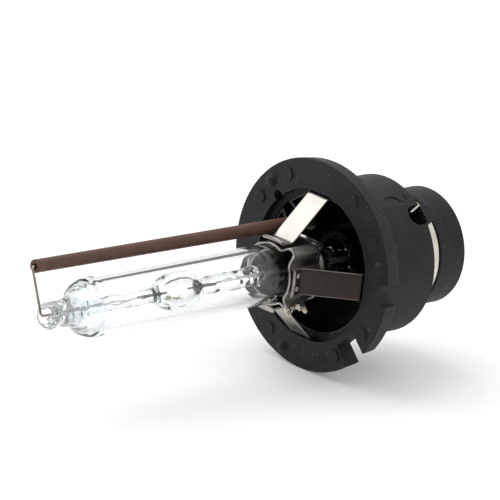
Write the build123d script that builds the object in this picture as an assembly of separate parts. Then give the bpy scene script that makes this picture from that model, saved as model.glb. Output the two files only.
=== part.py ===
from build123d import *
import math
import os

os.makedirs("parts", exist_ok=True)

# Gas-discharge headlamp bulb with a bayonet base.
#
# Millimetres and degrees. The lamp is built with its axis along +Z: a "station" is a
# distance along that axis from the flange's front face, positive towards the glass tip and
# negative towards the rear contacts. A "clock angle" goes round the axis from +X to +Y.
# The last step lays the lamp down, so that in the row frame the glass tip points along -Y,
# the rear contacts along +Y, and the clock angle goes from +X towards +Z.

# --- Moulded base ----------------------------------------------------------------------
FLANGE_R = 15.7            # front edge of the seating flange
FLANGE_REAR_R = 15.35      # rear edge, smaller by the mould's draft
FLANGE_T = 2.7
BARREL_R = 11.5
BARREL_END = -13.9
CORE_R = 7.9               # drum that carries the contact ring
CORE_END = -17.9
RECESS_R = 11.2            # shallow recess round the front cavity
RECESS_FLAT = 10.95        # the recess has four flats, one behind each strip
RECESS_DEPTH = 1.3
CAVITY_R = 10.35
CAVITY_FLOOR = -9.6
EDGE_ROUND = 0.25          # rounding of the moulding's outer edges
CORNER_FILLET = 0.4

# --- Flange details ----------------------------------------------------------------------
BOSS_ANGLES = (15.0, 135.0, 255.0)    # three domes that set the reference plane
BOSS_PITCH_R = 14.0
BOSS_R = 1.05
BOSS_H = 0.65
PAD_ANGLES = (30, 60, 120, 150, 210, 240, 300, 330)     # low round pads, one per ejector pin
PAD_PITCH_R = 13.6
PAD_R = 1.0
PAD_H = 0.22
KEYWAY_ANGLE = 315.0
KEYWAY_INNER_R = 12.1
KEYWAY_W = 4.0
NOTCH_ANGLE = 0.0
NOTCH_W = 3.2
NOTCH_INNER_R = 13.3
RELIEF_ANGLE = 135.5
RELIEF_PITCH_R = 11.5
RELIEF_R = 0.8
RELIEF_DEPTH = 1.3
ROUNDEL_ANGLE = 66.5       # deep edge of the shallow round mark in the side of the barrel
ROUNDEL_STATION = -9.4
ROUNDEL_R = 1.9
ROUNDEL_DEPTH = 0.16
SLIT_ANGLE = 63.4          # short slit beside the barrel's rear edge
SLIT_STATION = -12.4
SLIT_LENGTH = 1.2
SLIT_W = 0.22
SLIT_DEPTH = 0.25

# --- Bayonet lugs and rear contacts -----------------------------------------------------
LUG_ANGLES = (47.0, 227.0)
LUG_R = 1.36               # lug with its flat towards the flange and a round rear
LUG_RUN = 0.8              # straight part between the flat and the round
LUG_TIP_R = 11.4
LUG_GAP = 0.7              # bare core left round the lug by the contact ring
LUG_NOTCH_R = 1.6          # round-ended notch in the barrel's edge in front of the lug
LUG_NOTCH_RUN = 1.4
LUG_NOTCH_FLOOR_R = 8.8
RING_R = 8.3
RING_FRONT = -14.0
RING_REAR = -17.8
RING_SEAM_ANGLE = -120.0
RING_SEAM_W = 0.4
TONGUE_W = 2.4
TONGUE_FRONT = -12.1
COLLAR_R = 8.55
COLLAR_END = -23.1
SPIGOT_R = 6.8
SPIGOT_FRONT = -13.4
RECEPTACLE_R = 6.1
RECEPTACLE_FLOOR = -14.6
CONTACT_R = 1.25
CONTACT_STUB_R = 0.9       # thinner part that passes through the collar's floor
CONTACT_END = -20.2
CONTACT_ROUND = 0.5

# --- Inner insulator: a liner for the cavity with a socket in its middle ------------------
LINER_BORE_R = 10.0
LINER_RIM = -1.5
LINER_FLOOR = -8.8
SOCKET_R = 4.35
SOCKET_BORE_R = 3.1
SOCKET_MOUTH = -4.4
SOCKET_FLOOR = -12.2
SOCKET_STEP = 0.45         # step and chamfer of the socket's mouth
RIB_ANGLE = 140.0          # two leaning ribs, with the rim open between them
RIB_T = 0.45
RIB_LENGTH = 2.2
RIB_OUTER_R = 10.3
RIB_OFFSET = 1.0
RIB_LEAN = 12.0
RIM_GAP_DEPTH = 3.0
SLEEVE_WALL = 0.45         # sleeve on the liner's floor that takes the ceramic tube
SLEEVE_FRONT = -2.4
SLEEVE_REAR = -9.2

# --- Burner and outer bulb ---------------------------------------------------------------
LIGHT_CENTRE = 27.1        # from the flange to the middle of the arc
ARC_GAP = 4.2
BULB_R = 4.35
BULB_WALL = 1.0
BULB_REAR = 0.6            # where the straight tube of the outer bulb begins
BULB_FRONT = 43.3          # where it ends
NECK_R = 2.15
NECK_REAR = -5.2
TIP_R = 1.95
TIP_END = 52.4
TIP_BORE_R = 1.3
NECK_STRAIGHT = 2.4        # straight length of the rear neck
REAR_SHOULDER = 0.6        # how far the rear shoulder's corner lies behind the straight tube
REAR_SEAL = -2.3           # where the sleeve's inside meets the rear stem
FRONT_SHOULDER = 1.6       # how far the front shoulder's corner lies beyond the straight tube
FRONT_CONE_R = 3.0
FRONT_CONE_END = 47.2
FRONT_NECK = 48.9
FRONT_SEAL = 46.4
INNER_SHOULDER = 0.9       # how far the inside corners lie from the straight tube's ends
OUTER_BENDS = {2: 1.0, 3: 1.6, 4: 2.6, 5: 0.8, 6: 1.0, 7: 0.3}    # corner of the outline: radius
INNER_BENDS = {12: 1.6, 13: 1.2}
STEM_FRONT_R = 1.2
STEM_REAR_R = 1.4
STEM_FRONT_END = 50.4
STEM_REAR_END = -8.0
BALL_R = 2.9
BALL_HALF_LENGTH = 3.9
CHAMBER_R = 1.5
CHAMBER_HALF_LENGTH = 3.4
ELECTRODE_R = 0.15
SALT_PATCHES = ((-0.45, 0.9, 0.75), (0.35, -0.3, 0.65), (0.1, 2.0, 0.5))       # across, along, radius
MERCURY_BEADS = ((0.35, 1.15, 0.16), (-0.3, -1.1, 0.12), (0.45, 0.5, 0.09))    # across, along, radius
SALT_SINK = 0.35           # share of a patch's radius that lies below the chamber's floor
BEAD_GAP = 0.08
FOIL_W = 1.5
FOIL_T = 0.08
FOIL_LENGTH = 7.5
FOIL_FRONT_START = 34.5
FOIL_REAR_START = 12.2
FOIL_ANGLE = 25.0          # clock angle that the foils' flat width points to
LAP = 0.8                  # how far a rod or lead lies on its foil
LEAD_R = 0.25
LEAD_FRONT_END = 51.6
LEAD_REAR_END = -18.6

# --- Return conductor --------------------------------------------------------------------
WIRE_R = 0.2
WIRE_STATION = 53.3        # where the wire crosses from the axis to the ceramic tube
WIRE_BEND_R = 0.5
TUBE_R = 0.975
TUBE_BORE_R = 0.45
TUBE_FRONT = 52.8
TUBE_REAR = -10.2
TUBE_AT_TIP = Vector(-2.91, 6.53, WIRE_STATION)    # the tube splays slightly
TUBE_AT_FLANGE = Vector(-3.6, 5.46, 0.0)
WIRE_TURN = -12.6          # where the wire turns outwards to the contact ring

# --- Sheet-metal holder ------------------------------------------------------------------
STRIP_ANGLES = {"strip_right": 0.0, "strip_top": 90.0, "strip_left": 180.0, "strip_bottom": 270.0}
STRIP_W = 4.0
STRIP_T = 0.3
STRIP_LEG_R = 10.55
STRIP_LEG_END = 0.3        # station of the bend between leg and arm
STRIP_BENDS = (0.4, 1.2, 0.3)
STRIP_BEND = 6.4           # station of the bend between arm and foot
STRIP_FOOT_R = 4.8
STRIP_FOOT_END = 8.0
LIP_R = 5.35
LIP_STATION = 8.6
BEAD_R = 0.28              # hemmed front edge of each foot
PLATE_INNER_R = 10.5
PLATE_OUTER_R = 11.9
PLATE_TOP = -1.6
PLATE_T = 0.3
CLAMP_INNER_R = 4.4
CLAMP_T = 0.25
CLAMP_REAR = 2.0
CLAMP_FRONT = 8.7
EAR_ANGLE = 48.0
EAR_HALF_GAP = 0.3
EAR_CENTRE_R = 5.95
CLOSURE_ANGLE = -42.0
CLOSURE_R = 6.5
CLOSURE_REAR = 4.8
CLOSURE_CURL_R = 0.35
CLOSURE_HALF_GAP = 0.05
EAR_ROOT_R = 4.9           # the ear's rear edge slopes from here
EAR_REAR = 3.7             # to here, at the crown
EAR_TOP_R = 6.6
EAR_CLEAR_R = 7.5
WELD_R = 0.4
WELD_H = 0.1
WELD_STATION = 7.3


# --- Helpers -----------------------------------------------------------------------------
def rod(radius, start, end):
    """Cylinder on the lamp axis between two stations."""
    low = min(start, end)
    return Pos(0, 0, low) * Cylinder(radius, abs(end - start), align=(Align.CENTER, Align.CENTER, Align.MIN))


def tube(outer, inner, start, end):
    """Pipe on the lamp axis between two stations."""
    return rod(outer, start, end) - rod(inner, start, end)


def turned(points, radii=None):
    """Solid turned about the lamp axis from a closed (radius, station) outline."""
    corners = [0.0] * len(points)
    for index, radius in (radii or {}).items():
        corners[index] = radius
    outline = FilletPolyline(*points, radius=corners, close=True)
    return revolve(make_face(Plane.XZ * outline), Axis.Z)


def egg(radius, half_length, station):
    """Ellipsoid of revolution on the lamp axis."""
    arc = EllipticalCenterArc((0, station), radius, half_length, start_angle=-90, arc_size=180)
    chord = Line((0, station + half_length), (0, station - half_length))
    return revolve(make_face(Plane.XZ * Curve([arc, chord])), Axis.Z)


def spoke(radius, inner, outer, angle, station):
    """Cylinder that lies along a radius of the lamp."""
    across = Cylinder(radius, outer - inner, align=(Align.CENTER, Align.CENTER, Align.MIN))
    return Rot(0, 0, angle) * Pos(inner, 0, station) * Rot(0, 90, 0) * across


def block(inner, outer, width, low, high, angle):
    """Box on a clock angle, from one radius to another and between two stations."""
    box = Box(outer - inner, width, high - low, align=(Align.MIN, Align.CENTER, Align.MIN))
    return Rot(0, 0, angle) * Pos(inner, 0, low) * box


def tube_point(station):
    """Point of the ceramic tube's axis at a station."""
    share = station / WIRE_STATION
    return TUBE_AT_FLANGE + (TUBE_AT_TIP - TUBE_AT_FLANGE) * share


def splayed_rod(radius, start, end):
    """Cylinder along the ceramic tube's slightly splayed axis."""
    low = tube_point(start)
    along = tube_point(end) - low
    plane = Plane(origin=low, z_dir=along)
    return plane * Cylinder(radius, along.length, align=(Align.CENTER, Align.CENTER, Align.MIN))


def wire(points, bend, radius):
    """Round wire along straight runs joined by tangent arcs."""
    path = FilletPolyline(*points, radius=bend)
    return sweep(Plane(origin=path @ 0, z_dir=path % 0) * Circle(radius), path)


def joined(pieces):
    """One shape from several overlapping or separate solids."""
    whole = pieces[0]
    for piece in pieces[1:]:
        whole = whole + piece
    return whole


# --- Sheet-metal holder -------------------------------------------------------------------
def strip(angle):
    """Spring strip: a leg in the base, an arm that slopes inwards, and a foot with a hemmed lip."""
    points = [
        (STRIP_LEG_R, 0, PLATE_TOP),
        (STRIP_LEG_R, 0, STRIP_LEG_END),
        (STRIP_FOOT_R, 0, STRIP_BEND),
        (STRIP_FOOT_R, 0, STRIP_FOOT_END),
        (LIP_R, 0, LIP_STATION),
    ]
    path = FilletPolyline(*points, radius=STRIP_BENDS)
    section = Plane(origin=path @ 0, x_dir=(0, 1, 0), z_dir=path % 0) * Rectangle(STRIP_W, STRIP_T)
    bead = Pos(LIP_R, 0, LIP_STATION) * Rot(90, 0, 0) * Cylinder(BEAD_R, STRIP_W)
    return Rot(0, 0, angle) * (sweep(section, path) + bead)


def anchor_ring():
    """Ring moulded into the flange, which the four strips' legs are welded to."""
    return tube(PLATE_OUTER_R, PLATE_INNER_R, PLATE_TOP - PLATE_T, PLATE_TOP)


def ear_outline(half_width, root):
    """Flat slot shape that reaches from a root radius to the ear's crown."""
    length = EAR_CENTRE_R - root
    walls = Pos(root + length / 2, 0) * Rectangle(length, 2 * half_width)
    return Rot(0, 0, EAR_ANGLE) * (walls + Pos(EAR_CENTRE_R, 0) * Circle(half_width))


def closure_half(side):
    """One of the band's two pinched ends, with its tip curled away from the other."""
    middle = side * (CLOSURE_HALF_GAP + CLAMP_T / 2)
    length = CLOSURE_R - CLAMP_INNER_R
    plate = Pos(CLAMP_INNER_R + length / 2, middle) * Rectangle(length, CLAMP_T)
    curl = Pos(CLOSURE_R, side * (CLOSURE_HALF_GAP + CLOSURE_CURL_R)) * Circle(CLOSURE_CURL_R)
    return plate + curl


def clamp_band():
    """Band round the outer bulb, with one folded ear and its two ends pinched together."""
    outer_r = CLAMP_INNER_R + CLAMP_T
    length = CLAMP_FRONT - CLAMP_REAR
    gap = Rot(0, 0, CLOSURE_ANGLE) * Pos(CLAMP_INNER_R, 0) * Rectangle(4 * CLAMP_T, 2 * CLOSURE_HALF_GAP)
    loop = Circle(outer_r) + ear_outline(EAR_HALF_GAP + CLAMP_T, CLAMP_INNER_R)
    loop = loop - Circle(CLAMP_INNER_R) - ear_outline(EAR_HALF_GAP, CLAMP_INNER_R - 2 * CLAMP_T) - gap
    band = Pos(0, 0, CLAMP_REAR) * extrude(loop, length)
    ends = Rot(0, 0, CLOSURE_ANGLE) * (closure_half(1) + closure_half(-1))
    band = band + Pos(0, 0, CLOSURE_REAR) * extrude(ends, CLAMP_FRONT - CLOSURE_REAR)
    slope = [(EAR_ROOT_R, CLAMP_REAR), (EAR_TOP_R, EAR_REAR)]
    corners = slope + [(EAR_CLEAR_R, EAR_REAR), (EAR_CLEAR_R, CLAMP_REAR)]
    trim = Polyline(*corners, close=True)
    wedge = extrude(Plane.XZ * make_face(trim), 4 * CLAMP_T, both=True)
    return band - Rot(0, 0, EAR_ANGLE) * wedge


def spot_welds():
    """Two weld nuggets on the foot of each strip."""
    height = STRIP_FOOT_R + STRIP_T / 2
    nuggets = []
    for angle in STRIP_ANGLES.values():
        for side in (-1.0, 1.0):
            spot = Pos(height, side, WELD_STATION) * Rot(0, 90, 0) * Cone(
                WELD_R, WELD_R / 2, WELD_H, align=(Align.CENTER, Align.CENTER, Align.MIN)
            )
            nuggets.append(Rot(0, 0, angle) * spot)
    return joined(nuggets)


# --- Conductors ---------------------------------------------------------------------------
def return_wire():
    """Wire from the tip of the lamp, down the ceramic tube, to the contact ring's tongue."""
    turn = tube_point(WIRE_TURN)
    reach = math.hypot(turn.X, turn.Y)
    foot = Vector(turn.X * CORE_R / reach, turn.Y * CORE_R / reach, WIRE_TURN)
    points = [(0, 0, LEAD_FRONT_END), (0, 0, WIRE_STATION), tube_point(WIRE_STATION), turn, foot]
    return wire(points, WIRE_BEND_R, WIRE_R)


def ceramic_tube():
    """Insulating tube that the return wire runs through."""
    bore = splayed_rod(TUBE_BORE_R, TUBE_REAR - 1, TUBE_FRONT + 1)
    return splayed_rod(TUBE_R, TUBE_REAR, TUBE_FRONT) - bore


def contact_ring():
    """Outer contact round the core, with a tongue that runs into the moulding."""
    end = tube_point(WIRE_TURN)
    angle = math.degrees(math.atan2(end.Y, end.X))
    sheet = tube(RING_R, CORE_R, RING_REAR, TONGUE_FRONT)
    kept = rod(RING_R + 1, RING_REAR, RING_FRONT) + block(
        0, 2 * RING_R, TONGUE_W, RING_REAR, TONGUE_FRONT, angle
    )
    seam = block(0, 2 * RING_R, RING_SEAM_W, RING_REAR, RING_FRONT, RING_SEAM_ANGLE)
    return (sheet & kept) - seam - joined([lug(a, LUG_GAP) for a in LUG_ANGLES])


def centre_contact():
    """Hollow pin in the rear receptacle, crimped on the rear lead."""
    outline = [
        (0, SPIGOT_FRONT),
        (CONTACT_STUB_R, SPIGOT_FRONT),
        (CONTACT_STUB_R, RECEPTACLE_FLOOR),
        (CONTACT_R, RECEPTACLE_FLOOR),
        (CONTACT_R, CONTACT_END),
        (0, CONTACT_END),
    ]
    pin = turned(outline, {4: CONTACT_ROUND})
    return pin - rod(LEAD_R, SPIGOT_FRONT, LEAD_REAR_END)


def foil(start):
    """Molybdenum sealing foil."""
    sheet = Box(FOIL_W, FOIL_T, FOIL_LENGTH, align=(Align.CENTER, Align.CENTER, Align.MIN))
    return Rot(0, 0, FOIL_ANGLE) * Pos(0, 0, start) * sheet


def lapped(shape):
    """A rod whose end is ground flat where it lies on a foil."""
    half = Box(2 * FOIL_W, 2 * FOIL_W, FOIL_LENGTH, align=(Align.CENTER, Align.MAX, Align.MIN))
    for start in (FOIL_FRONT_START, FOIL_REAR_START):
        shape = shape - Rot(0, 0, FOIL_ANGLE) * Pos(0, FOIL_T / 2, start) * half
    return shape


def electrodes():
    """The two tungsten rods that face each other across the arc gap."""
    front = rod(ELECTRODE_R, LIGHT_CENTRE + ARC_GAP / 2, FOIL_FRONT_START + LAP)
    rear = rod(ELECTRODE_R, LIGHT_CENTRE - ARC_GAP / 2, FOIL_REAR_START + FOIL_LENGTH - LAP)
    return lapped(front), lapped(rear)


def leads():
    """The two round leads that carry current from the foils out of the glass."""
    front = rod(LEAD_R, FOIL_FRONT_START + FOIL_LENGTH - LAP, LEAD_FRONT_END)
    rear = rod(LEAD_R, FOIL_REAR_START + LAP, LEAD_REAR_END)
    return lapped(front), lapped(rear)


# --- Glass --------------------------------------------------------------------------------
def arc_tube(sealed_in):
    """Quartz burner: a ball round the discharge chamber, with a sealed stem each side."""
    stems = rod(STEM_FRONT_R, LIGHT_CENTRE, STEM_FRONT_END) + rod(STEM_REAR_R, STEM_REAR_END, LIGHT_CENTRE)
    glass = stems + egg(BALL_R, BALL_HALF_LENGTH, LIGHT_CENTRE)
    glass = glass - egg(CHAMBER_R, CHAMBER_HALF_LENGTH, LIGHT_CENTRE)
    for piece in sealed_in:
        glass = glass - piece
    return glass


def outer_bulb():
    """Quartz sleeve fused to both stems, with a shoulder at each end and an open tip."""
    inner_r = BULB_R - BULB_WALL
    outline = [
        (STEM_REAR_R, NECK_REAR),
        (NECK_R, NECK_REAR),
        (NECK_R, NECK_REAR + NECK_STRAIGHT),
        (BULB_R, BULB_REAR - REAR_SHOULDER),
        (BULB_R, BULB_FRONT + FRONT_SHOULDER),
        (FRONT_CONE_R, FRONT_CONE_END),
        (NECK_R, FRONT_NECK),
        (TIP_R, TIP_END),
        (TIP_BORE_R, TIP_END),
        (TIP_BORE_R, STEM_FRONT_END),
        (STEM_FRONT_R, STEM_FRONT_END),
        (STEM_FRONT_R, FRONT_SEAL),
        (inner_r, BULB_FRONT + INNER_SHOULDER),
        (inner_r, BULB_REAR + INNER_SHOULDER),
        (STEM_REAR_R, REAR_SEAL),
    ]
    return turned(outline, OUTER_BENDS | INNER_BENDS)


def chamber_fill():
    """What lies in the discharge chamber: halide salt on its floor, and mercury beads."""
    chamber = egg(CHAMBER_R, CHAMBER_HALF_LENGTH, LIGHT_CENTRE)
    salt = []
    for across, along, size in SALT_PATCHES:
        floor_r = CHAMBER_R * math.sqrt(1 - (along / CHAMBER_HALF_LENGTH) ** 2)
        drop = math.sqrt(floor_r**2 - across**2)
        ball = Pos(across, -drop - SALT_SINK * size, LIGHT_CENTRE + along) * Sphere(size)
        salt.append(ball & chamber)
    beads = []
    for across, along, size in MERCURY_BEADS:
        floor_r = CHAMBER_R * math.sqrt(1 - (along / CHAMBER_HALF_LENGTH) ** 2)
        drop = math.sqrt((floor_r - size - BEAD_GAP) ** 2 - across**2)
        beads.append(Pos(across, -drop, LIGHT_CENTRE + along) * Sphere(size))
    return salt, beads


# --- Plastic ------------------------------------------------------------------------------
def lug(angle, grown=0.0):
    """Bayonet lug that stands out of the core on a radius: flat in front, half round behind."""
    radius = LUG_R + grown
    rear = BARREL_END - LUG_RUN
    round_end = spoke(radius, SPIGOT_R, LUG_TIP_R, angle, rear)
    straight = block(SPIGOT_R, LUG_TIP_R, 2 * radius, rear, BARREL_END, angle)
    return (round_end & rod(2 * BARREL_R, rear - radius, rear)) + straight


def lug_notch(angle):
    """Round-ended notch in the barrel's rear edge, in front of a lug."""
    front = BARREL_END + LUG_NOTCH_RUN
    straight = block(LUG_NOTCH_FLOOR_R, BARREL_R + 1, 2 * LUG_NOTCH_R, BARREL_END, front, angle)
    return spoke(LUG_NOTCH_R, LUG_NOTCH_FLOOR_R, BARREL_R + 1, angle, front) + straight


def liner_rib(side):
    """One of the two ribs that lean away from each other towards the lamp's axis."""
    height = LINER_RIM - LINER_FLOOR
    plate = Box(RIB_LENGTH, RIB_T, height, align=(Align.MAX, Align.CENTER, Align.MIN))
    root = Pos(RIB_OUTER_R, side * RIB_OFFSET, LINER_FLOOR)
    return Rot(0, 0, RIB_ANGLE) * root * Rot(0, 0, -side * RIB_LEAN) * plate


def inner_insulator(passing_through):
    """Glossy liner of the front cavity, with a socket for the glass's rear stem and a tube sleeve."""
    cup = rod(CAVITY_R, CAVITY_FLOOR, LINER_RIM) - rod(LINER_BORE_R, LINER_FLOOR, LINER_RIM)
    gap_floor = LINER_RIM - RIM_GAP_DEPTH
    cup = cup - block(CAVITY_R - 1, CAVITY_R + 1, 2 * RIB_OFFSET, gap_floor, LINER_RIM, RIB_ANGLE)
    cup = cup + liner_rib(1) + liner_rib(-1)
    cup = cup + rod(SOCKET_R, SPIGOT_FRONT, SOCKET_MOUTH)
    cup = cup + splayed_rod(TUBE_R + SLEEVE_WALL, SLEEVE_REAR, SLEEVE_FRONT)
    cup = cup & rod(CAVITY_R, SPIGOT_FRONT, LINER_RIM)
    cup = cup - rod(SOCKET_BORE_R, SOCKET_FLOOR, SOCKET_MOUTH) - rod(LEAD_R, SPIGOT_FRONT, SOCKET_FLOOR)
    cup = cup - tube(SOCKET_R + SOCKET_STEP, SOCKET_R - SOCKET_STEP, SOCKET_MOUTH - SOCKET_STEP, SOCKET_MOUTH)
    chamfer_r = SOCKET_BORE_R + SOCKET_STEP
    cup = cup - turned([
        (0, SOCKET_MOUTH - SOCKET_STEP),
        (SOCKET_BORE_R, SOCKET_MOUTH - SOCKET_STEP),
        (chamfer_r, SOCKET_MOUTH),
        (0, SOCKET_MOUTH),
    ])
    for piece in passing_through:
        cup = cup - piece
    return cup


def rear_collar():
    """Rear insulator: a ring behind the contact, with a receptacle for the ballast's plug."""
    outline = [
        (CONTACT_STUB_R, SPIGOT_FRONT),
        (SPIGOT_R, SPIGOT_FRONT),
        (SPIGOT_R, CORE_END),
        (COLLAR_R, CORE_END),
        (COLLAR_R, COLLAR_END),
        (RECEPTACLE_R, COLLAR_END),
        (RECEPTACLE_R, RECEPTACLE_FLOOR),
        (CONTACT_STUB_R, RECEPTACLE_FLOOR),
    ]
    return turned(outline, {3: EDGE_ROUND, 4: 2 * EDGE_ROUND, 5: EDGE_ROUND, 6: CORNER_FILLET})


def flange_openings():
    """Everything that is cut out of the flange: keyway, round notch and relief."""
    keyway = block(KEYWAY_INNER_R, FLANGE_R + 1, KEYWAY_W, -FLANGE_T - 1, 1, KEYWAY_ANGLE)
    notch_r = NOTCH_W / 2
    centre = NOTCH_INNER_R + notch_r
    notch_end = Rot(0, 0, NOTCH_ANGLE) * Pos(centre, 0, -FLANGE_T / 2) * Cylinder(notch_r, FLANGE_T + 2)
    notch = notch_end + block(centre, FLANGE_R + 1, NOTCH_W, -FLANGE_T - 1, 1, NOTCH_ANGLE)
    relief = Rot(0, 0, RELIEF_ANGLE) * Pos(RELIEF_PITCH_R, 0, 0) * Cylinder(RELIEF_R, 2 * RELIEF_DEPTH)
    return [keyway, notch, relief]


def barrel_marks():
    """The shallow round mark and the short slit in the side of the barrel."""
    bottom = BARREL_R - ROUNDEL_DEPTH
    disc = Rot(0, 90, 0) * Cylinder(ROUNDEL_R, 1, align=(Align.CENTER, Align.CENTER, Align.MIN))
    roundel = Rot(0, 0, ROUNDEL_ANGLE) * Pos(bottom, -ROUNDEL_R, ROUNDEL_STATION) * disc
    slit = block(
        BARREL_R - SLIT_DEPTH, BARREL_R + 1, SLIT_LENGTH, SLIT_STATION, SLIT_STATION + SLIT_W, SLIT_ANGLE
    )
    return [roundel, slit]


def base_housing(moulded_in):
    """Moulded base: flange, barrel and core in one piece, hollow at both ends."""
    outline = [
        (0, 0),
        (FLANGE_R, 0),
        (FLANGE_REAR_R, -FLANGE_T),
        (BARREL_R, -FLANGE_T),
        (BARREL_R, BARREL_END),
        (CORE_R, BARREL_END),
        (CORE_R, CORE_END),
        (0, CORE_END),
    ]
    body = turned(outline, {1: EDGE_ROUND, 2: EDGE_ROUND, 3: CORNER_FILLET, 4: EDGE_ROUND})
    recess = Circle(RECESS_R) & Rectangle(2 * RECESS_FLAT, 2 * RECESS_FLAT)
    body = body - Pos(0, 0, -RECESS_DEPTH) * extrude(recess, RECESS_DEPTH + 1)
    body = body - rod(CAVITY_R, CAVITY_FLOOR, 1)
    body = body - rod(SOCKET_R, SPIGOT_FRONT, CAVITY_FLOOR + 1)
    body = body - rod(SPIGOT_R, CORE_END - 1, SPIGOT_FRONT)
    sphere_r = (BOSS_R**2 + BOSS_H**2) / (2 * BOSS_H)
    for angle in BOSS_ANGLES:
        body = body + Rot(0, 0, angle) * Pos(BOSS_PITCH_R, 0, BOSS_H - sphere_r) * Sphere(sphere_r)
    for angle in PAD_ANGLES:
        body = body + Rot(0, 0, angle) * Pos(PAD_PITCH_R, 0, 0) * Cylinder(PAD_R, 2 * PAD_H)
    for cut in flange_openings() + barrel_marks():
        body = body - cut
    for angle in LUG_ANGLES:
        body = body - lug_notch(angle) + lug(angle)
    for piece in moulded_in:
        body = body - piece
    return body


# --- Assembly -----------------------------------------------------------------------------
electrode_front, electrode_rear = electrodes()
lead_front, lead_rear = leads()
foil_front = foil(FOIL_FRONT_START)
foil_rear = foil(FOIL_REAR_START)
salt_pieces, mercury_pieces = chamber_fill()
strips = {name: strip(angle) for name, angle in STRIP_ANGLES.items()}
plates = anchor_ring()
ring = contact_ring()
return_conductor = return_wire()
tube_socket = splayed_rod(TUBE_R, TUBE_REAR, LINER_RIM)
moulded_in = list(strips.values()) + [plates, ring, return_conductor, tube_socket]

nodes = {
    "base_housing": base_housing(moulded_in),
    "rear_collar": rear_collar(),
    "inner_insulator": inner_insulator([return_conductor, tube_socket]),
    "contact_ring": ring,
    "centre_contact": centre_contact(),
    "anchor_ring": plates,
    "clamp_band": clamp_band(),
    "spot_welds": spot_welds(),
    "outer_bulb": outer_bulb(),
    "arc_tube": arc_tube([electrode_front, electrode_rear, foil_front, foil_rear, lead_front, lead_rear]),
    "electrode_front": electrode_front,
    "electrode_rear": electrode_rear,
    "foil_front": foil_front,
    "foil_rear": foil_rear,
    "lead_front": lead_front,
    "lead_rear": lead_rear,
    "return_wire": return_conductor,
    "ceramic_tube": ceramic_tube(),
    "halide_salt": Compound(children=salt_pieces),
    "mercury_beads": Compound(children=mercury_pieces),
}
nodes.update(strips)

LAY_DOWN = Rot(90, 0, 0)   # lamp axis +Z becomes row -Y
for name, shape in nodes.items():
    export_step(LAY_DOWN * shape, f"parts/{name}.step")
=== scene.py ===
import math
import bmesh
import bpy
from mathutils import Matrix, Vector, noise


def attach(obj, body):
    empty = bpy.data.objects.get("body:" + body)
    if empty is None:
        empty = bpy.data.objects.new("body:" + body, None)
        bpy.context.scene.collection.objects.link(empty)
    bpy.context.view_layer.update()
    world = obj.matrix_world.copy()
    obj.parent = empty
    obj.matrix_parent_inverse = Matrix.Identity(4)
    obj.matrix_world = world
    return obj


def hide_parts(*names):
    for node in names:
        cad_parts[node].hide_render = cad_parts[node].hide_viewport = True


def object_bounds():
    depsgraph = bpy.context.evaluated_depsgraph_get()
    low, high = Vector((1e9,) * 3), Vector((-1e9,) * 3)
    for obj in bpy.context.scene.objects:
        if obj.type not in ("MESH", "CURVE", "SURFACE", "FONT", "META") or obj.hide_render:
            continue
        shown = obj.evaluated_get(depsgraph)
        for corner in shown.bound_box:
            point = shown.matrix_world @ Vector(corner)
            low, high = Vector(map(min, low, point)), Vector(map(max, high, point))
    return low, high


# Gas-discharge headlamp bulb. A "station" is a distance along the lamp's axis from the flange
# towards the glass tip (row -Y), a "clock angle" goes round the axis from row +X towards +Z.
# Sizes are in millimetres and angles in degrees; MM turns a size into metres.
MM = 0.001

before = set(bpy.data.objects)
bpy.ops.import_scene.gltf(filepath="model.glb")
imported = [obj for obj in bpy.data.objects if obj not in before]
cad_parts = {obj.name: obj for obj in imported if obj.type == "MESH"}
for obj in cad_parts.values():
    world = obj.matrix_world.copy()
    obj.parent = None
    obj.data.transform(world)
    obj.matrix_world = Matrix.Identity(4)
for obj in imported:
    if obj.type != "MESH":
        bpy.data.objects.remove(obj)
cad_low, cad_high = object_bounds()


# --- Sizes of the pieces that are built here ------------------------------------------------
GLASS_SEGMENTS = 96
GLASS_OUTSIDE = (          # station, radius: from the rear stem round to the open tip
    (-8.0, 0.0), (-8.0, 1.25), (-7.8, 1.4), (-5.4, 1.4), (-5.2, 1.6), (-5.0, 2.05), (-4.6, 2.15),
    (-3.0, 2.15), (-1.9, 2.45), (-0.9, 3.3), (0.0, 4.0), (1.0, 4.3), (2.2, 4.35), (43.4, 4.35),
    (44.6, 4.22), (45.6, 3.84), (46.3, 3.3), (46.9, 2.75), (47.7, 2.38), (49.0, 2.1), (50.8, 2.0),
    (51.8, 2.0), (52.25, 1.85), (52.4, 1.6), (52.25, 1.35), (51.4, 1.2), (50.7, 0.9), (50.4, 0.4),
    (50.4, 0.0),
)
GLASS_INSIDE = (           # station, radius: the gap between the burner and the outer wall
    (-1.9, 1.5), (0.0, 1.4), (6.0, 1.35), (12.0, 1.4), (20.0, 1.4), (21.8, 1.3), (22.8, 1.3),
    (23.5, 1.75), (24.4, 2.35), (25.6, 2.78), (27.1, 2.9), (28.6, 2.78), (29.8, 2.35), (30.7, 1.75),
    (31.4, 1.25), (32.6, 1.05), (36.0, 1.1), (43.2, 1.1), (45.4, 1.2), (46.5, 1.4), (46.9, 1.65),
    (46.6, 2.05), (46.1, 2.5), (45.4, 2.9), (44.4, 3.23), (43.0, 3.35), (2.8, 3.35), (1.4, 3.25),
    (0.3, 2.85), (-0.8, 2.2), (-1.6, 1.8),
)
PROFILE_SPACING = 0.8      # longest step along a profile before it is rounded
PROFILE_STEPS = 3          # rounded steps in place of each one
NEAR_AXIS = 0.02           # a profile point closer to the axis than this is left to the end cap
LUMPS_FROM_R = 0.8         # inside this radius lumps fade out towards the axis
CHAMBER_STATION = 27.1     # discharge chamber, an ellipsoid
CHAMBER_R = 1.5
CHAMBER_HALF_LENGTH = 3.4
CHAMBER_STEPS = 28
TIP_LUMPY = (45.5, 48.0)   # stations over which the outside turns lumpy from the flame
TIP_LUMP = 0.42
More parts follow.
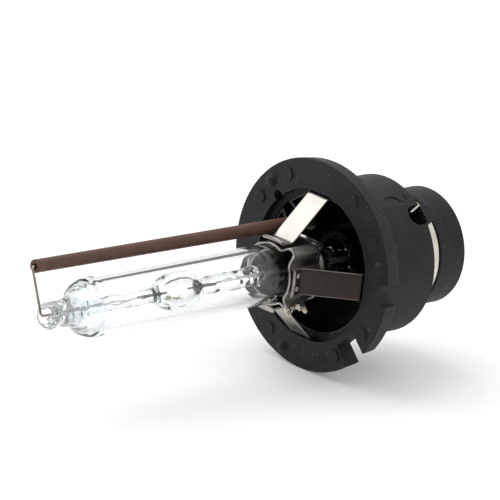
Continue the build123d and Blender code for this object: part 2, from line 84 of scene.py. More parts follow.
DRAWN_WAVE = 0.012         # unevenness of the drawn tube
FRONT_SEAL = (42.0, 44.5)  # stations over which the inside turns uneven towards the front seal
FRONT_SEAL_LUMP = 0.36
REAR_SEAL = (-0.5, 4.0)
REAR_SEAL_LUMP = 0.2
BALL = (22.6, 31.2)        # stations between which the burner is an even ball
STEM_RIPPLE = 0.08
REAR_STEM_SHARE = 1.6      # how much more the rear stem ripples than the front one
FRONT_STEM_RUN_IN = 3      # lengths beside the ball over which a stem's ripples begin
REAR_STEM_RUN_IN = 2
STEM_TO_WALL = (2.3, 3.0)  # radii over which the gap's unevenness fades from stem to outer wall
LEAST_UNEVEN = 0.04
FOLD_STATION = 10.7        # crumpled fold in the rear stem
FOLD_HALF_LENGTH = 1.5
FOLD_DEPTH = 0.55
QUARTZ_INDEX = 1.4
TIP_BENDING = 0.78         # share of the light that the flame-worked end bends

STRIP_CLOCK = {"strip_right": 0.0, "strip_top": 90.0, "strip_left": 180.0, "strip_bottom": 270.0}
STRIP_W = 4.0
STRIP_T = 0.3
STRIP_SPACING = 0.35
STRIP_STEPS = 2
STRIP_WAVE = 0.02          # unevenness of the sheet
STRIP_CORNER = 0.09        # rounding of the sheet's edges
SECTION_STEPS = 8          # steps along each side of a strip's cross-section
LIP_END_SHARE = 0.25       # least share of its thickness that the lip's rounded end keeps
STRIP_PATH = (             # station, radius of the strip's middle surface
    (-1.6, 10.55), (-0.4, 10.55), (0.05, 10.5), (0.35, 10.36), (0.6, 10.13), (3.2, 7.7),
    (5.5, 5.55), (6.0, 5.12), (6.4, 4.89), (6.9, 4.8), (7.8, 4.8), (8.15, 4.88), (8.4, 5.08),
    (8.6, 5.35),
)
STRIP_RUN = sum(math.dist(a, b) for a, b in zip(STRIP_PATH, STRIP_PATH[1:]))
BEAD_T = 0.54              # thickness of the hemmed lip
BEAD_LENGTH = 0.75
LIP_CROWN = {"strip_right": 0.12, "strip_top": 0.2, "strip_left": 0.12, "strip_bottom": 0.62}

CLAMP_T = 0.25
CLAMP_REAR = 2.0
CLAMP_FRONT = 8.7
CLAMP_R = 4.53             # middle of the sheet where it lies on the glass
RIM_SWELL = 0.35           # the sheared edges are upset and a little thicker
RIM_LENGTH = 0.35
RIM_TRIM = 0.3             # what the very edge loses again, which rounds it
CLAMP_ROWS = 40            # steps from the rear edge to the front edge
CLAMP_STEPS = 4            # rounded steps between control points round the band
CLAMP_FLARE = 0.3          # the rear edge opens outwards
FLARE_LENGTH = 0.6
EAR = (                    # clock angle, rise over the band: the folded ear
    (26, 0.0), (32, 0.3), (36, 0.75), (40, 1.55), (43, 1.85), (47, 1.85), (51, 1.7), (56, 1.1),
    (60, 0.4), (65, 0.0),
)
EAR_RUN_IN = 1.9           # length over which the ear rises from the rear edge
CLOSURE_REAR = 4.7         # station where the pinched ends begin
CLOSURE_RUN_IN = 0.35
SADDLE = (5.0, 3.6, 0.28)  # the pinched ends dip in the middle: from station, length, share lost
CRUMPLE = 0.16
CRUMPLE_SCALE = (2.2, 2.2, 1.6)    # across, up, along the lamp
CRUMPLE_R = (5.4, 6.2)     # radii over which the pinched ends turn crumpled
PLAIN_BEFORE_EAR = (-28, -18, -8, 2, 12, 20)
PLAIN_AFTER_EAR = range(72, 304, 8)
PINCH_START = ((-41.0, 2.2), (-40.6, 1.9), (-40.2, 1.3), (-39.4, 0.7), (-37.5, 0.25), (-34.0, 0.0))
PINCH_END = ((-52.0, 0.1), (-48.0, 0.35), (-45.2, 0.8), (-43.9, 1.3), (-43.4, 1.9), (-43.1, 2.2))
WELD_LUMPS = (             # station, radius, clock angle; half sizes along the lamp, outwards, across
    (8.4, 6.4, -43.0, 0.42, 0.85, 0.44),
    (5.1, 6.45, -43.0, 0.44, 0.75, 0.44),
    (7.4, 6.05, -43.5, 0.6, 0.48, 0.48),
    (6.4, 5.9, -41.5, 0.65, 0.5, 0.5),
    (5.8, 6.15, -44.5, 0.35, 0.4, 0.3),
)
WELD_UNEVENNESS = 0.3


# --- Geometry helpers -----------------------------------------------------------------------
def lamp_point(radius, clock, station):
    """Row-frame point, in metres, for a radius, a clock angle in degrees and a station."""
    angle = math.radians(clock)
    return Vector((radius * math.cos(angle), -station, radius * math.sin(angle))) * MM


def outward_and_across(clock):
    """Unit vectors away from the axis and round it, at a clock angle."""
    angle = math.radians(clock)
    return Vector((math.cos(angle), 0, math.sin(angle))), Vector((-math.sin(angle), 0, math.cos(angle)))


def smooth_step(value, start, end):
    """0 before start, 1 after end, with soft ends."""
    share = min(max((value - start) / (end - start), 0.0), 1.0)
    return share * share * (3 - 2 * share)


def rounded(points, steps):
    """Points along a smooth curve (Catmull-Rom) that passes through the given pairs."""
    padded = [points[0]] + list(points) + [points[-1]]
    curve = []
    for index in range(1, len(padded) - 2):
        a, b, c, d = padded[index - 1:index + 3]
        for step in range(steps):
            t = step / steps
            curve.append(tuple(
                0.5 * (2 * b[k] + (c[k] - a[k]) * t + (2 * a[k] - 5 * b[k] + 4 * c[k] - d[k]) * t ** 2
                       + (3 * b[k] - a[k] - 3 * c[k] + d[k]) * t ** 3)
                for k in range(len(b))
            ))
    curve.append(tuple(points[-1]))
    return curve


def resampled(points, spacing):
    """The same polyline with no step longer than the spacing."""
    out = [points[0]]
    for start, end in zip(points, points[1:]):
        length = math.dist(start, end)
        count = max(1, math.ceil(length / spacing))
        for step in range(1, count + 1):
            share = step / count
            out.append(tuple(a + (b - a) * share for a, b in zip(start, end)))
    return out


def make_piece(name, mesh_data, slot, *nodes):
    """A mesh object on the root body that stands for some CAD nodes."""
    mesh = bpy.data.meshes.new(name)
    mesh_data.to_mesh(mesh)
    mesh_data.free()
    piece = bpy.data.objects.new(name, mesh)
    bpy.context.collection.objects.link(piece)
    for face in mesh.polygons:
        face.use_smooth = True
    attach(piece, "root")
    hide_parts(*nodes)
    return piece


def add_grid(bm, rows, close_rows=False):
    """Adds faces between rows of points, each row closed round; returns the rows of vertices."""
    verts = [[bm.verts.new(point) for point in row] for row in rows]
    row_pairs = list(zip(verts, verts[1:]))
    if close_rows:
        row_pairs.append((verts[-1], verts[0]))
    for low, high in row_pairs:
        for index in range(len(low)):
            after = (index + 1) % len(low)
            bm.faces.new([low[index], low[after], high[after], high[index]])
    return verts


# --- Glass ----------------------------------------------------------------------------------
def lump(station, clock, seed, coarse, along):
    """Smooth signed noise on the glass, round the axis and along it."""
    angle = math.radians(clock)
    place = Vector((math.cos(angle) * coarse, math.sin(angle) * coarse, station * along + seed))
    return noise.noise(place) + 0.4 * noise.noise(place * 2.1 + Vector((3.1, seed, 0.7)))


def outside_lumps(station, clock):
    """How far the outer surface swells, in millimetres."""
    tip = smooth_step(station, *TIP_LUMPY)
    wave = DRAWN_WAVE * noise.noise(Vector((math.radians(clock) * 0.7, station * 0.12, 4.0)))
    return tip * TIP_LUMP * lump(station, clock, 7.0, 0.85, 0.62) + wave


def inside_lumps(station, clock):
    """How far the inner surface swells: folds at both seals, ripples and one fold on the stems."""
    seals = FRONT_SEAL_LUMP * smooth_step(station, *FRONT_SEAL)
    seals += REAR_SEAL_LUMP * (1 - smooth_step(station, *REAR_SEAL))
    stems = smooth_step(station, BALL[1], BALL[1] + FRONT_STEM_RUN_IN)
    stems += REAR_STEM_SHARE * (1 - smooth_step(station, BALL[0] - REAR_STEM_RUN_IN, BALL[0]))
    fold = max(0.0, 1 - abs(station - FOLD_STATION) / FOLD_HALF_LENGTH)
    swelling = seals * lump(station, clock, 2.0, 1.0, 0.8)
    swelling += STEM_RIPPLE * stems * lump(station, clock, 5.0, 1.1, 0.4)
    return swelling + FOLD_DEPTH * fold * lump(station, clock, 9.0, 1.6, 1.3)


def turned_rows(profile, lumps, strength):
    """Rings of points round the axis for a profile of (station, radius)."""
    rows = []
    for station, radius in profile:
        ring = []
        for index in range(GLASS_SEGMENTS):
            clock = 360.0 * index / GLASS_SEGMENTS
            share = min(1.0, radius / LUMPS_FROM_R)
            swollen = radius + strength(station, radius) * share * lumps(station, clock)
            ring.append(lamp_point(swollen, clock, station))
        rows.append(ring)
    return rows


def add_island(bm, rows, hollow, ring=False):
    """One closed surface of the glass; a hollow one faces its own inside, as a cavity does."""
    made = bmesh.new()
    verts = add_grid(made, rows, close_rows=ring)
    if not ring:
        made.faces.new(list(reversed(verts[0])))
        made.faces.new(verts[-1])
    bmesh.ops.recalc_face_normals(made, faces=made.faces)
    if hollow:
        bmesh.ops.reverse_faces(made, faces=made.faces)
    carried = bpy.data.meshes.new("island")
    made.to_mesh(carried)
    made.free()
    bm.from_mesh(carried)
    bpy.data.meshes.remove(carried)


def unevenness(station, radius):
    """The gap's outer wall and the ball are nearly even; the stems and the gap's ends are not."""
    on_stem = 1 - smooth_step(radius, *STEM_TO_WALL)
    behind_ball = 1 - smooth_step(station, BALL[0] - 1, BALL[0])
    before_ball = smooth_step(station, BALL[1], BALL[1] + 1)
    return max(LEAST_UNEVEN, on_stem * (behind_ball + before_ball))


def build_glass():
    """The outer sleeve and the burner, which are fused into one piece of quartz at both seals."""
    bm = bmesh.new()
    outside = rounded(resampled(GLASS_OUTSIDE, PROFILE_SPACING), PROFILE_STEPS)
    outside = [point for point in outside if point[1] > NEAR_AXIS]
    add_island(bm, turned_rows(outside, outside_lumps, lambda s, r: 1.0), hollow=False)
    closed = GLASS_INSIDE + (GLASS_INSIDE[0],)
    inside = rounded(resampled(closed, PROFILE_SPACING), PROFILE_STEPS)[:-1]
    rows = turned_rows(inside, inside_lumps, unevenness)
    add_island(bm, rows, hollow=True, ring=True)
    chamber = []
    for index in range(1, CHAMBER_STEPS):
        turn = math.pi * index / CHAMBER_STEPS
        station = CHAMBER_STATION - CHAMBER_HALF_LENGTH * math.cos(turn)
        chamber.append((station, CHAMBER_R * math.sin(turn)))
    add_island(bm, turned_rows(chamber, lambda s, c: 0.0, lambda s, r: 0.0), hollow=True)
    return make_piece("quartz_glass", bm, "clear_quartz", "outer_bulb", "arc_tube")


# --- Sheet metal ----------------------------------------------------------------------------
def ribbon_section(half_width, half_thickness):
    """Outline of a strip's cross-section, (across, up), with softly rounded corners."""
    round_r = min(STRIP_CORNER, half_thickness * 0.9)
    corners = []
    for quarter, (side, face) in enumerate(((1, 1), (-1, 1), (-1, -1), (1, -1))):
        x, y = side * (half_width - round_r), face * (half_thickness - round_r)
        turns = [math.radians(quarter * 90 + step * 30) for step in range(4)]
        corners.append([(x + round_r * math.cos(turn), y + round_r * math.sin(turn)) for turn in turns])
    outline = []
    for corner, after in zip(corners, corners[1:] + corners[:1]):
        outline += corner
        (x0, y0), (x1, y1) = corner[-1], after[0]
        for step in range(1, SECTION_STEPS):
            share = step / SECTION_STEPS
            outline.append((x0 + (x1 - x0) * share, y0 + (y1 - y0) * share))
    return outline


def build_strip(name, clock):
    """Spring strip with a bead along its lip, swept along the strip's path."""
    path = rounded(resampled(STRIP_PATH, STRIP_SPACING), STRIP_STEPS)
    total = sum(math.dist(a, b) for a, b in zip(path, path[1:]))
    out, across = outward_and_across(clock)
    bm = bmesh.new()
    uv = bm.loops.layers.uv.new("sheet")
    rows, coordinates = [], []
    run = 0.0
    for index, (station, radius) in enumerate(path):
        before, after = path[max(index - 1, 0)], path[min(index + 1, len(path) - 1)]
        if index:
            run += math.dist(path[index - 1], path[index])
        along = Vector((after[0] - before[0], after[1] - before[1])).normalized()
        normal = Vector((-along[1], along[0]))
        left = total - run
        bead = 1 - smooth_step(left, 0.0, BEAD_LENGTH)
        end_round = math.sqrt(max(0.0, 1 - (1 - min(left, BEAD_T / 2) / (BEAD_T / 2)) ** 2))
        thickness = (STRIP_T + (BEAD_T - STRIP_T) * bead) * max(end_round, LIP_END_SHARE)
        row, marks = [], []
        for x, y in ribbon_section(STRIP_W / 2, thickness / 2):
            crown = LIP_CROWN[name] * bead * (1 - (2 * x / STRIP_W) ** 2)
            wave = STRIP_WAVE * noise.noise(Vector((x * 0.6, run * 0.4, clock)))
            lift = y + wave + crown
            s, r = station + normal[0] * lift, radius + normal[1] * lift
            row.append((out * r + across * x) * MM + Vector((0, -s * MM, 0)))
            marks.append((x * MM, run * MM))
        rows.append(row)
        coordinates.append(marks)
    verts = add_grid(bm, rows)
    bm.faces.new(list(reversed(verts[0])))
    bm.faces.new(verts[-1])
    where = {v: mark for ring, marks in zip(verts, coordinates) for v, mark in zip(ring, marks)}
    for face in bm.faces:
        for loop in face.loops:
            loop[uv].uv = where[loop.vert]
    bmesh.ops.recalc_face_normals(bm, faces=bm.faces)
    return make_piece(name + "_sheet", bm, "spring_steel", name)


def clamp_rise(points, station, rear, run_in):
    """The control points of a fold, scaled to how high it stands at a station."""
    share = smooth_step(station, rear, rear + run_in)
    return [(clock, CLAMP_R + rise * share) for clock, rise in points]


def pinched(points, station):
    """The control points of a pinched end at a station, with the dip in its middle."""
    start, length, lost = SADDLE
    share = 1 - lost * math.sin(math.pi * min(max((station - start) / length, 0.0), 1.0))
    raised = clamp_rise(points, station, CLOSURE_REAR, CLOSURE_RUN_IN)
    return [(clock, CLAMP_R + (radius - CLAMP_R) * share) for clock, radius in raised]


def clamp_line(station):
    """Middle line of the band at a station, as (x, z) in millimetres round the lamp."""
    ear = clamp_rise(EAR, station, CLAMP_REAR, EAR_RUN_IN)
    flare = CLAMP_FLARE * (1 - smooth_step(station, CLAMP_REAR, CLAMP_REAR + FLARE_LENGTH))
    before = [(clock, CLAMP_R) for clock in PLAIN_BEFORE_EAR]
    after = [(clock, CLAMP_R) for clock in PLAIN_AFTER_EAR]
    end = [(clock + 360, radius) for clock, radius in pinched(PINCH_END, station)]
    line = []
    controls = pinched(PINCH_START, station) + before + ear + after + end
    for clock, radius in rounded(controls, CLAMP_STEPS):
        angle = math.radians(clock)
        line.append(((radius + flare) * math.cos(angle), (radius + flare) * math.sin(angle)))
    return line


def build_clamp():
    """The band round the glass: a thin sheet with one folded ear and two pinched ends."""
    bm = bmesh.new()
    uv = bm.loops.layers.uv.new("sheet")
    rows = []
    for step in range(CLAMP_ROWS + 1):
        station = CLAMP_REAR + (CLAMP_FRONT - CLAMP_REAR) * step / CLAMP_ROWS
        line = clamp_line(station)
        edge = min(station - CLAMP_REAR, CLAMP_FRONT - station)
        swell = RIM_SWELL * (1 - smooth_step(edge, 0.0, RIM_LENGTH))
        trim = RIM_TRIM if step in (0, CLAMP_ROWS) else 0.0
        half = CLAMP_T / 2 * (1 + swell - trim)
        outer, inner = [], []
        for index, point in enumerate(line):
            before, after = line[max(index - 1, 0)], line[min(index + 1, len(line) - 1)]
            along = Vector((after[0] - before[0], after[1] - before[1])).normalized()
            normal = Vector((along[1], -along[0]))
            weld = smooth_step(math.hypot(*point), *CRUMPLE_R) * (1 if point[1] < 0 else 0)
            place = Vector(a * b for a, b in zip((*point, station), CRUMPLE_SCALE))
            crumple = CRUMPLE * weld * noise.noise(place)
            for ring, side in ((outer, half), (inner, -half)):
                moved = Vector(point) + normal * (side + crumple)
                ring.append(Vector((moved[0], -station, moved[1])) * MM)
        rows.append(outer + list(reversed(inner)))
    verts = add_grid(bm, rows)
    count = len(rows[0]) // 2
    for ring, flip in ((verts[0], False), (verts[-1], True)):
        for index in range(count - 1):
            corners = [ring[index], ring[index + 1], ring[2 * count - 2 - index], ring[2 * count - 1 - index]]
            if flip:
                corners.reverse()
            bm.faces.new(corners)
    for face in bm.faces:
        for loop in face.loops:
            place = loop.vert.co
            turn = math.atan2(place.z, place.x)
            loop[uv].uv = (turn * CLAMP_R * MM, place.y)
    bmesh.ops.recalc_face_normals(bm, faces=bm.faces)
    return make_piece("clamp_sheet", bm, "spring_steel", "clamp_band")


def build_closure_welds():
    """Bright, uneven weld metal that joins the band's two pinched ends."""
    bm = bmesh.new()
    for number, (station, radius, clock, along, outward, across) in enumerate(WELD_LUMPS):
        made = bmesh.ops.create_icosphere(bm, subdivisions=4, radius=1.0)
        centre = lamp_point(radius, clock, station)
        out, side = outward_and_across(clock)
        for vert in made["verts"]:
            swell = 1 + WELD_UNEVENNESS * noise.noise(vert.co * 1.7 + Vector((number * 3.0, 0, 0)))
            x, y, z = vert.co * swell * MM
            vert.co = centre + Vector((0, -1, 0)) * x * along + out * y * outward + side * z * across
    return make_piece("closure_welds", bm, "spring_steel", "clamp_band")


# --- Materials ------------------------------------------------------------------------------
class Shader:
    """A material's node tree, with short ways to add and link nodes."""

    def __init__(self, name):
        self.material = bpy.data.materials.new(name)
        self.material.use_nodes = True
        self.tree = self.material.node_tree
        self.base = self.tree.nodes["Principled BSDF"]
        self.output = self.tree.nodes["Material Output"]

    def node(self, kind, inputs=(), **settings):
        made = self.tree.nodes.new("ShaderNode" + kind)
        for key, value in settings.items():
            setattr(made, key, value)
        for key, value in dict(inputs).items():
            self.put(made.inputs[key], value)
        return made

    def put(self, socket, value):
        if isinstance(value, bpy.types.NodeSocket):
            self.tree.links.new(value, socket)
        else:
            socket.default_value = value

    def set(self, **inputs):
        for key, value in inputs.items():
            self.put(self.base.inputs[key.replace("_", " ")], value)

    def object_coordinates(self, scale=(1, 1, 1)):
        place = self.node("TexCoord")
        return self.node("Mapping", {"Vector": place.outputs["Object"], "Scale": scale}).outputs[0]

    def sheet_coordinates(self, scale):
        place = self.node("UVMap", uv_map="sheet")
        return self.node("Mapping", {"Vector": place.outputs[0], "Scale": scale}).outputs[0]

    def noise(self, vector, scale, detail=3.0, roughness=0.55):
        inputs = {"Vector": vector, "Scale": scale, "Detail": detail, "Roughness": roughness}
        return self.node("TexNoise", inputs).outputs["Fac"]

    def ramp(self, factor, low, high, to_low=0.0, to_high=1.0):
        made = self.node("MapRange", {
            "Value": factor, "From Min": low, "From Max": high, "To Min": to_low, "To Max": to_high,
        })
        return made.outputs["Result"]

    def mix(self, factor, low, high):
        made = self.node("Mix", data_type="RGBA")
        self.put(made.inputs["Factor"], factor)
        self.put(made.inputs[6], (*low, 1) if isinstance(low, tuple) else low)
        self.put(made.inputs[7], (*high, 1) if isinstance(high, tuple) else high)
        return made.outputs[2]

    def maths(self, operation, *values):
        return self.node("Math", dict(enumerate(values)), operation=operation).outputs[0]

    def bump(self, height, strength, distance, normal=None):
        inputs = {"Height": height, "Strength": strength, "Distance": distance}
        if normal:
            inputs["Normal"] = normal
        return self.node("Bump", inputs).outputs[0]


def moulded_plastic():
    """Dark grey moulded plastic: cloudy colour, pale dust specks, fine texture, paler worn edges."""
    s = Shader("base_plastic")
    place = s.object_coordinates()
    cloud = s.noise(place, 260.0, 4.0)
    grain = s.noise(place, 5200.0, 2.0)
    colour = s.mix(s.ramp(cloud, 0.35, 0.65), (0.009, 0.009, 0.0125), (0.0145, 0.0145, 0.0195))
    speck = s.node("TexVoronoi", {"Vector": place, "Scale": 1450.0})
    split = s.node("SeparateColor", {"Color": speck.outputs["Color"]})
    near = s.ramp(speck.outputs["Distance"], 0.17, 0.1)
    rare = s.ramp(split.outputs[0], 0.7, 0.76)
    dust = s.maths("MULTIPLY", near, rare)
    colour = s.mix(dust, colour, (0.13, 0.125, 0.12))
    soft = s.node("Bevel", {"Radius": 0.09 * MM}, samples=4)
    true_normal = s.node("NewGeometry").outputs["Normal"]
    dot = s.node("VectorMath", {0: soft.outputs[0], 1: true_normal}, operation="DOT_PRODUCT")
    edges = s.ramp(dot.outputs["Value"], 0.995, 0.9, 0.0, 0.55)
    worn = s.maths("MULTIPLY", edges, s.ramp(cloud, 0.3, 0.7, 0.4, 1.0))
    colour = s.mix(worn, colour, (0.11, 0.11, 0.112))
    s.set(Base_Color=colour, Roughness=s.ramp(grain, 0.3, 0.7, 0.5, 0.68), Specular_IOR_Level=0.28)
    s.set(Normal=s.bump(grain, 0.35, 0.02 * MM, soft.outputs[0]))
    return s.material


def glossy_liner():
    """Nearly black plastic as it came off a polished mould, slightly smeared."""
    s = Shader("black_liner")
    place = s.object_coordinates()
    smear = s.noise(place, 420.0, 4.0)
    s.set(Base_Color=s.mix(smear, (0.0018, 0.0018, 0.002), (0.0045, 0.0045, 0.005)))
    s.set(Roughness=s.ramp(smear, 0.3, 0.7, 0.12, 0.3), Specular_IOR_Level=0.3)
    soft = s.node("Bevel", {"Radius": 0.07 * MM}, samples=4)
    s.set(Normal=s.bump(s.noise(place, 1500.0), 0.15, 0.02 * MM, soft.outputs[0]))
    return s.material


def sheet_steel(name, tint, stain, shine, edge_highlight_colour=None):
    """Rolled spring steel with fine draw lines, smudges, a heat stain and, if asked, painted highlights on
    its side edges and lip.
    """
    s = Shader(name)
    lines = s.noise(s.sheet_coordinates((9000.0, 260.0, 1.0)), 1.0, 3.0)
    place = s.object_coordinates()
    smudge = s.noise(place, 330.0, 4.0)
    heat = s.ramp(s.noise(place, 140.0, 2.0), 0.45, 0.75)
    colour = s.mix(s.ramp(lines, 0.25, 0.75), tuple(0.86 * c for c in tint), tint)
    colour = s.mix(s.ramp(smudge, 0.45, 0.8, 0.0, 0.35), colour, tuple(0.6 * c for c in tint))
    colour = s.mix(s.maths("MULTIPLY", heat, 0.35), colour, stain)
    if edge_highlight_colour:
        # painted highlight: a paler colour along the strip's side edges and its lip, varied by the smudge
        # noise
        sheet = s.node("SeparateXYZ", {0: s.sheet_coordinates((1.0, 1.0, 1.0))})
        aside = s.maths("ABSOLUTE", sheet.outputs[0])
        rims = s.ramp(aside, (STRIP_W / 2 - 0.14) * MM, (STRIP_W / 2 - 0.05) * MM)
        lip = s.ramp(sheet.outputs[1], (STRIP_RUN - 1.3) * MM, (STRIP_RUN - 0.5) * MM)
        edge_highlight_mask = s.maths("MULTIPLY", s.maths("MAXIMUM", rims, lip), s.ramp(smudge, 0.3, 0.6, 0.35, 1.0))
        colour = s.mix(edge_highlight_mask, colour, edge_highlight_colour)
    s.set(Base_Color=colour, Metallic=1.0)
    s.set(Roughness=s.ramp(s.maths("ADD", lines, smudge), 0.7, 1.3, *shine))
    s.set(Normal=s.bump(lines, 0.12, 0.01 * MM))
    return s.material


def plated_metal(name, tint, dull, rough):
    """Solid metal of a CAD piece: fine lines round it, dull patches and small scratches."""
    s = Shader(name)
    place = s.object_coordinates()
    lines = s.noise(s.object_coordinates((300.0, 9000.0, 300.0)), 1.0, 3.0)
    patch = s.noise(place, 400.0, 4.0)
    colour = s.mix(s.ramp(patch, 0.4, 0.75), tint, dull)
    colour = s.mix(s.ramp(lines, 0.3, 0.7, 0.0, 0.25), colour, tuple(0.5 * c for c in tint))
    s.set(Base_Color=colour, Metallic=1.0, Roughness=s.ramp(patch, 0.3, 0.7, rough - 0.08, rough + 0.08))
    s.set(Normal=s.bump(lines, 0.15, 0.01 * MM))
    return s.material


def fired_ceramic():
    """Brown fired ceramic, slightly mottled and grainy, with faint streaks from rubbing."""
    s = Shader("brown_ceramic")
    place = s.object_coordinates()
    mottle = s.noise(place, 500.0, 4.0)
    streak = s.noise(s.object_coordinates((1600.0, 90.0, 1600.0)), 1.0, 3.0)
    grain = s.noise(place, 7000.0, 2.0)
    colour = s.mix(s.ramp(mottle, 0.3, 0.7), (0.082, 0.036, 0.021), (0.114, 0.053, 0.031))
    colour = s.mix(s.ramp(streak, 0.5, 0.8, 0.0, 0.4), colour, (0.138, 0.073, 0.045))
    s.set(Base_Color=colour, Roughness=s.ramp(grain, 0.3, 0.7, 0.45, 0.65), Specular_IOR_Level=0.4)
    s.set(Normal=s.bump(grain, 0.3, 0.02 * MM))
    return s.material


def clear_quartz():
    """Fused quartz: clear, with faint draw lines, and a blue-green tint where it is thick."""
    s = Shader("clear_quartz")
    draw = s.noise(s.object_coordinates((900.0, 40.0, 900.0)), 1.0, 2.0)
    haze = s.noise(s.object_coordinates(), 500.0, 3.0)
    along = s.node("SeparateXYZ", {0: s.object_coordinates()}).outputs[1]
    before = s.ramp(along, -49.0 * MM, -47.0 * MM)
    after = s.ramp(along, -43.2 * MM, -44.6 * MM)
    shoulder = s.maths("MULTIPLY", before, after)
    clear = s.mix(haze, (0.985, 0.99, 0.995), (1.0, 1.0, 1.0))
    s.set(Base_Color=s.mix(shoulder, clear, (0.90, 0.965, 0.98)), Transmission_Weight=1.0)
    s.set(Roughness=s.ramp(haze, 0.55, 0.8, 0.0, 0.03), Normal=s.bump(draw, 0.06, 0.02 * MM))
    # the flame-worked end is full of fine seeds, so less of the view is bent there
    s.set(IOR=QUARTZ_INDEX, Alpha=s.ramp(along, -43.5 * MM, -46.0 * MM, 1.0, TIP_BENDING))
    absorb = s.node("VolumeAbsorption", {"Color": (0.66, 0.87, 0.95, 1), "Density": 20.0})
    s.tree.links.new(absorb.outputs[0], s.output.inputs["Volume"])
    return s.material


def salt_crust():
    """Yellow-green metal-halide crust, crystalline and slightly see-through."""
    s = Shader("salt")
    place = s.object_coordinates()
    grain = s.noise(place, 3500.0, 4.0)
    s.set(Base_Color=s.mix(s.ramp(grain, 0.35, 0.65), (0.72, 0.72, 0.36), (0.93, 0.94, 0.66)))
    s.set(Roughness=s.ramp(grain, 0.3, 0.7, 0.3, 0.6), Transmission_Weight=0.2)
    s.set(Normal=s.bump(grain, 0.8, 0.06 * MM))
    return s.material


def paint(piece, material):
    """Gives a piece one material in place of whatever it had."""
    piece.data.materials.clear()
    piece.data.materials.append(material)


# --- Build ----------------------------------------------------------------------------------
plastic = moulded_plastic()
liner = glossy_liner()
ceramic = fired_ceramic()
quartz = clear_quartz()
nickel = plated_metal("nickel", (0.70, 0.67, 0.60), (0.55, 0.52, 0.46), 0.3)
wire_metal = plated_metal("wire", (0.50, 0.46, 0.42), (0.22, 0.17, 0.14), 0.34)
molybdenum = plated_metal("molybdenum", (0.80, 0.79, 0.80), (0.60, 0.59, 0.60), 0.42)
tungsten = plated_metal("tungsten", (0.24, 0.24, 0.25), (0.12, 0.11, 0.11), 0.35)
mercury = plated_metal("mercury", (0.78, 0.79, 0.80), (0.60, 0.60, 0.62), 0.1)
weld_metal = plated_metal("weld", (0.42, 0.37, 0.32), (0.2, 0.15, 0.11), 0.35)
bright_sheet = sheet_steel("bright_sheet", (0.42, 0.41, 0.385), (0.30, 0.27, 0.23), (0.2, 0.34))
# the right strip's steel is painted much darker than the other strips: painted shade and painted dark
# reflection, with painted highlights on its edges and lip
painted_shade_sheet = sheet_steel(
    "painted_shade_sheet", (0.044, 0.036, 0.034), (0.034, 0.024, 0.018), (0.24, 0.4), (0.34, 0.31, 0.28),
)
clamp_sheet = sheet_steel("clamp_sheet", (0.42, 0.41, 0.39), (0.33, 0.28, 0.23), (0.22, 0.4))
closure_weld = plated_metal("closure_weld", (0.62, 0.56, 0.47), (0.30, 0.20, 0.12), 0.2)

CAD_FINISH = {
    "base_housing": plastic,
    "rear_collar": plastic,
    "inner_insulator": liner,
    "contact_ring": nickel,
    "centre_contact": nickel,
    "anchor_ring": weld_metal,
    "spot_welds": weld_metal,
    "electrode_front": tungsten,
    "electrode_rear": tungsten,
    "foil_front": molybdenum,
    "foil_rear": molybdenum,
    "lead_front": molybdenum,
    "lead_rear": molybdenum,
    "return_wire": wire_metal,
    "ceramic_tube": ceramic,
    "halide_salt": salt_crust(),
    "mercury_beads": mercury,
}
for name, material in CAD_FINISH.items():
    paint(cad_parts[name], material)

paint(build_glass(), quartz)
paint(build_clamp(), clamp_sheet)
paint(build_closure_welds(), closure_weld)
# strip_right gets the steel painted darker for shade; the other strips get the plain steel
for name, clock in STRIP_CLOCK.items():
    paint(build_strip(name, clock), painted_shade_sheet if name == "strip_right" else bright_sheet)

# --- Studio ---------------------------------------------------------------------------------
CAMERA_RIGHT = Vector((0.6856, 0.7186, 0.1156))
CAMERA_UP = Vector((-0.3009, 0.1352, 0.9440))
CAMERA_BACK = Vector((0.6628, -0.6820, 0.3090))
CAMERA_DISTANCE = 2.0
FIELD_WIDTH = 72.05 * MM          # what the frame shows across, at the object
CAMERA_SHIFT = (-8.83 * MM, 2.18 * MM)
SENSOR = 36.0
FLOOR_HALF = 1.5
FLOOR_GLOW = 0.15                 # the paper lies on a light box
ROOM_DIM_SIDE = Vector((0.62, -0.74, -0.25))
ROOM_FADE = (0.05, 0.8)           # how far towards the dim side the room starts and ends to fade
ROOM_STRENGTH = (1.02, 0.16)
KEY_DIRECTION = Vector((-0.60, -0.22, 0.95))
KEY_DISTANCE = 0.7
KEY_SIZE = 0.62
KEY_POWER = 2.1


def make_camera():
    """A long lens at the angle that the lamp is looked at from."""
    data = bpy.data.cameras.new("camera")
    data.sensor_width = SENSOR
    data.lens = SENSOR * CAMERA_DISTANCE / FIELD_WIDTH
    data.clip_start, data.clip_end = 0.1, 20.0
    camera = bpy.data.objects.new("camera", data)
    right, up, back = CAMERA_RIGHT.normalized(), CAMERA_UP.normalized(), CAMERA_BACK.normalized()
    place = right * CAMERA_SHIFT[0] + up * CAMERA_SHIFT[1] + back * CAMERA_DISTANCE
    camera.matrix_world = Matrix.Translation(place) @ Matrix((right, up, back)).transposed().to_4x4()
    bpy.context.collection.objects.link(camera)
    bpy.context.scene.camera = camera


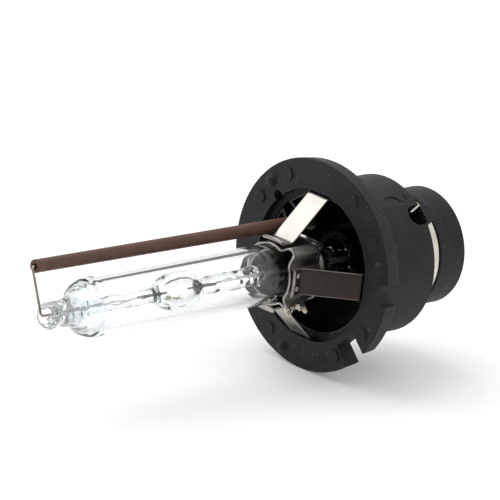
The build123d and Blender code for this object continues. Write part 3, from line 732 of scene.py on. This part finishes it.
def make_floor():
    """A pale sheet of paper under the lamp, lit a little from below."""
    bm = bmesh.new()
    corners = [(-1, -1), (1, -1), (1, 1), (-1, 1)]
    bm.faces.new([bm.verts.new((x * FLOOR_HALF, y * FLOOR_HALF, cad_low[2])) for x, y in corners])
    mesh = bpy.data.meshes.new("floor")
    bm.to_mesh(mesh)
    bm.free()
    floor = bpy.data.objects.new("floor", mesh)
    bpy.context.collection.objects.link(floor)
    s = Shader("paper")
    grain = s.noise(s.object_coordinates(), 900.0, 3.0)
    s.set(Base_Color=s.mix(grain, (0.90, 0.90, 0.895), (0.93, 0.93, 0.925)), Roughness=0.9)
    s.set(Specular_IOR_Level=0.1, Emission_Color=(1.0, 1.0, 1.0, 1.0), Emission_Strength=FLOOR_GLOW)
    mesh.materials.append(s.material)


def make_light(name, direction, distance, size, power, colour):
    """A square soft light that faces the lamp from a direction and a distance."""
    data = bpy.data.lights.new(name, "AREA")
    data.energy = power
    data.size = size
    data.color = colour
    light = bpy.data.objects.new(name, data)
    toward = direction.normalized()
    turned = toward.to_track_quat("Z", "Y").to_matrix().to_4x4()
    light.matrix_world = Matrix.Translation(toward * distance) @ turned
    bpy.context.collection.objects.link(light)


def make_world():
    """Soft white studio, bright above and behind the lamp, dim on the side it is seen from."""
    world = bpy.data.worlds.new("studio")
    bpy.context.scene.world = world
    world.use_nodes = True
    tree = world.node_tree
    background = tree.nodes["Background"]
    place = tree.nodes.new("ShaderNodeTexCoord")
    dot = tree.nodes.new("ShaderNodeVectorMath")
    dot.operation = "DOT_PRODUCT"
    dot.inputs[1].default_value = ROOM_DIM_SIDE.normalized()
    tree.links.new(place.outputs["Generated"], dot.inputs[0])
    spread = tree.nodes.new("ShaderNodeMapRange")
    spread.interpolation_type = "SMOOTHSTEP"
    for key, value in zip(("From Min", "From Max", "To Min", "To Max"), ROOM_FADE + ROOM_STRENGTH):
        spread.inputs[key].default_value = value
    tree.links.new(dot.outputs["Value"], spread.inputs["Value"])
    tree.links.new(spread.outputs[0], background.inputs["Strength"])
    background.inputs["Color"].default_value = (1.0, 1.0, 1.0, 1)


make_camera()
make_floor()
make_world()
make_light("key", KEY_DIRECTION, KEY_DISTANCE, KEY_SIZE, KEY_POWER, (1.0, 0.985, 0.95))
bpy.context.scene.view_settings.view_transform = "Standard"
